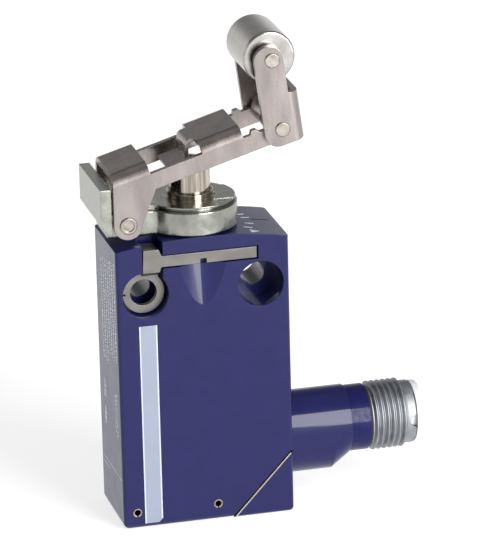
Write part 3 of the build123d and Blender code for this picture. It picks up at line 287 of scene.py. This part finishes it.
LOOKS = {
    "body_paint": paint,
    "zinc_plate": zinc,
    "steel_sheet": sheet,
    "steel_pin": pin,
    "steel_roller": roller_steel,
    "polished_steel": polished_streaks_and_reflection,
    "spring_steel": spring_wire,
    "clip_steel": clip_steel,
    "black_rubber": rubber,
    "label": label_film,
    "plug_paint": plug_paint,
    "connector_metal": nickel,
    "white_insert": insert_white,
    "brass_contact": brass,
    "silver_contact": silver,
    "black_moulding": black_moulding,
    "clear_cover": natural,
    "hollow_pin": hollow_pin,
    "pale_gasket": gasket_paper,
    "screw_steel": screw_steel,
}

slots = {entry["node"]: entry["material_slot"] for entry in frame["record"]["subparts"]}
for name, node in nodes.items():
    node.data.materials.clear()
    node.data.materials.append(LOOKS[slots[name]])

# ---------------------------------------------------------------- printed marks
CROWN_RADIUS = 81.06
APEX_Z = 9.4
BODY_MIDDLE_Y = -8.0
MARK_HALF_THICK = 0.03


def thin_marks(name, boxes, slot_name):
    """One mesh of thin boxes on the body; each is (centre, half length, half width, half depth) in mm."""
    shape = bmesh.new()
    for centre, length, width, depth in boxes:
        corners = {}
        for a in (-1, 1):
            for b in (-1, 1):
                for c in (-1, 1):
                    place = Vector(centre) + a * Vector(length) + b * Vector(width) + c * Vector(depth)
                    corners[a, b, c] = shape.verts.new(place * MM)
        for axis in range(3):
            for side in (-1, 1):
                around = [(-1, -1), (1, -1), (1, 1), (-1, 1)]
                face = [corners[tuple(pair[:axis] + (side,) + pair[axis:])] for pair in around]
                shape.faces.new(face)
    bmesh.ops.recalc_face_normals(shape, faces=shape.faces)
    mesh = bpy.data.meshes.new(name)
    shape.to_mesh(mesh)
    shape.free()
    piece = bpy.data.objects.new(name, mesh)
    bpy.context.scene.collection.objects.link(piece)
    mesh.materials.append(LOOKS[slot_name])
    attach(piece, "switch_body")


def crown_z(x):
    """Height of the body's arched top at x."""
    return APEX_Z - (CROWN_RADIUS - math.sqrt(CROWN_RADIUS**2 - x**2))


# index marks and an arrow beside the head, on the top face
MARK_RING_R = 9.9
MARK_HALF_LENGTH = 0.75
MARK_HALF_WIDTH = 0.16
up_a_little = (0, 0, MARK_HALF_THICK)
ticks = []
for degrees in (19, 8, -11, -25):
    c, t = math.cos(math.radians(degrees)), math.sin(math.radians(degrees))
    x, y = MARK_RING_R * c, BODY_MIDDLE_Y + MARK_RING_R * t
    along = (MARK_HALF_LENGTH * c, MARK_HALF_LENGTH * t, -MARK_HALF_LENGTH * c * x / CROWN_RADIUS)
    ticks.append(((x, y, crown_z(x)), along, (-MARK_HALF_WIDTH * t, MARK_HALF_WIDTH * c, 0), up_a_little))
for step in range(5):
    x, y = 9.0 + 0.3 * step, -14.2 - 0.02 * step
    ticks.append(((x, y, crown_z(x)), (0.16, 0, -0.02), (0, 0.75 - 0.16 * step, 0), up_a_little))
thin_marks("top_marks", ticks, "label")
line_x = 12.3
top_line = ((line_x, -7.4, crown_z(line_x)), (1.5, 0, -0.23), (0, 0.2, 0), up_a_little)
thin_marks("top_line", [top_line], "plug_paint")

# columns of small dashes down the left side, in place of its printed text
DASHES = (0.42, 0.25, 0.6, 0.33, 0.2, 0.5, 0.28, 0.7, 0.24, 0.38, 0.22, 0.55)
SHIFTS = (0.0, 0.08, -0.05, 0.1, -0.09, 0.03, -0.02)
DASH_GAP = 0.22
SIDE_X = -15.005
PRINT_HALF_THICK = 0.02
print_boxes = []


def dash_column(depth_y, top_z, low_z, width, first):
    """A column of dashes of uneven length from top_z down to low_z."""
    z, index = top_z, first
    while z > low_z:
        length = min(DASHES[index % len(DASHES)], z - low_z)
        shift = SHIFTS[index % len(SHIFTS)] * width
        half = width * (0.5 - abs(shift))
        middle = (SIDE_X, depth_y + shift, z - length / 2)
        print_boxes.append((middle, (0, 0, length / 2), (0, half, 0), (PRINT_HALF_THICK, 0, 0)))
        z -= length + DASH_GAP
        index += 5


for column in range(7):
    low = -12.2 if column < 4 else -14.6
    dash_column(-14.2 + 1.6 * column, 5.6 - 0.25 * column, low, 0.62, column)
dash_column(-4.6, -8.2, -11.4, 1.3, 3)
dash_column(-4.5, -18.2, -21.4, 1.5, 1)
dash_column(-4.5, -23.2, -26.4, 1.5, 4)
dash_column(-13.4, -18.0, -26.0, 0.55, 2)
dash_column(-12.3, -18.4, -25.2, 0.55, 7)
for y, half, z in ((-8.5, 6.8, -33.0), (-4.0, 2.5, -34.1)):
    print_boxes.append(((SIDE_X, y, z), (0, half, 0), (0, 0, 0.09), (PRINT_HALF_THICK, 0, 0)))
thin_marks("side_print", print_boxes, "label")

# ---------------------------------------------------------------- stage, light, camera
BODY_BOTTOM_Z = -42.0
bpy.ops.mesh.primitive_plane_add(size=6, location=(0, 0, BODY_BOTTOM_Z * MM))
floor = bpy.context.object
floor_material, floor_shader = new_material("floor")
floor_shader.inputs["Base Color"].default_value = (0.5, 0.5, 0.5, 1)
floor_shader.inputs["Roughness"].default_value = 0.9
floor_shader.inputs["Emission Color"].default_value = (1, 1, 1, 1)
floor_shader.inputs["Emission Strength"].default_value = 0.7
floor.data.materials.append(floor_material)

# White near the horizon, darker overhead, so level metal faces read darker than upright ones.
world = bpy.data.worlds.new("studio")
bpy.context.scene.world = world
world.use_nodes = True
sky = world.node_tree
direction = sky.nodes.new("ShaderNodeTexCoord")
split = sky.nodes.new("ShaderNodeSeparateXYZ")
ramp = sky.nodes.new("ShaderNodeValToRGB")
sky.links.new(direction.outputs["Generated"], split.inputs["Vector"])
sky.links.new(split.outputs["Z"], ramp.inputs["Fac"])
sky.links.new(ramp.outputs["Color"], sky.nodes["Background"].inputs["Color"])
SKY = ((0.0, 1.0), (0.18, 0.9), (0.30, 0.40), (0.42, 0.25), (0.75, 0.2), (1.0, 0.45))
for index, (height, grey) in enumerate(SKY):
    stop = ramp.color_ramp.elements[index] if index < 2 else ramp.color_ramp.elements.new(height)
    stop.position = height
    stop.color = (grey, grey, grey, 1)
sky.nodes["Background"].inputs["Strength"].default_value = 1.0


def softbox(name, place, width, height, radiance):
    """A rectangular area light at place, turned to the origin, sizes in metres."""
    data = bpy.data.lights.new(name, "AREA")
    data.shape = "RECTANGLE"
    data.size = width
    data.size_y = height
    data.energy = radiance * math.pi * width * height
    lamp = bpy.data.objects.new(name, data)
    bpy.context.scene.collection.objects.link(lamp)
    lamp.location = place
    lamp.rotation_euler = (-Vector(place)).to_track_quat("-Z", "Y").to_euler()


softbox("key", (0.395, -0.742, 0.325), 0.44, 0.78, 11.0)
softbox("left", (-0.75, 0.1, 0.35), 0.3, 0.4, 2.0)

bpy.context.scene.view_settings.view_transform = "Standard"

CAMERA_PLACE = Vector((-175.68, -743.07, 260.49)) * MM
CAMERA_FORWARD = Vector((0.23169, 0.91647, -0.326195))
CAMERA_UP = Vector((0.103785, 0.310118, 0.945016))
FOCAL_PIXELS = 4703.2
FRAME_WIDTH_PIXELS = 500.0
SENSOR_MM = 36.0

camera_data = bpy.data.cameras.new("camera")
camera_data.sensor_fit = "HORIZONTAL"
camera_data.sensor_width = SENSOR_MM
camera_data.lens = FOCAL_PIXELS / FRAME_WIDTH_PIXELS * SENSOR_MM
camera_data.clip_start = 0.01
camera = bpy.data.objects.new("camera", camera_data)
bpy.context.scene.collection.objects.link(camera)
back = -CAMERA_FORWARD.normalized()
side = CAMERA_UP.cross(back).normalized()
up = back.cross(side)
camera.matrix_world = Matrix.Translation(CAMERA_PLACE) @ Matrix((side, up, back)).transposed().to_4x4()
bpy.context.scene.camera = camera
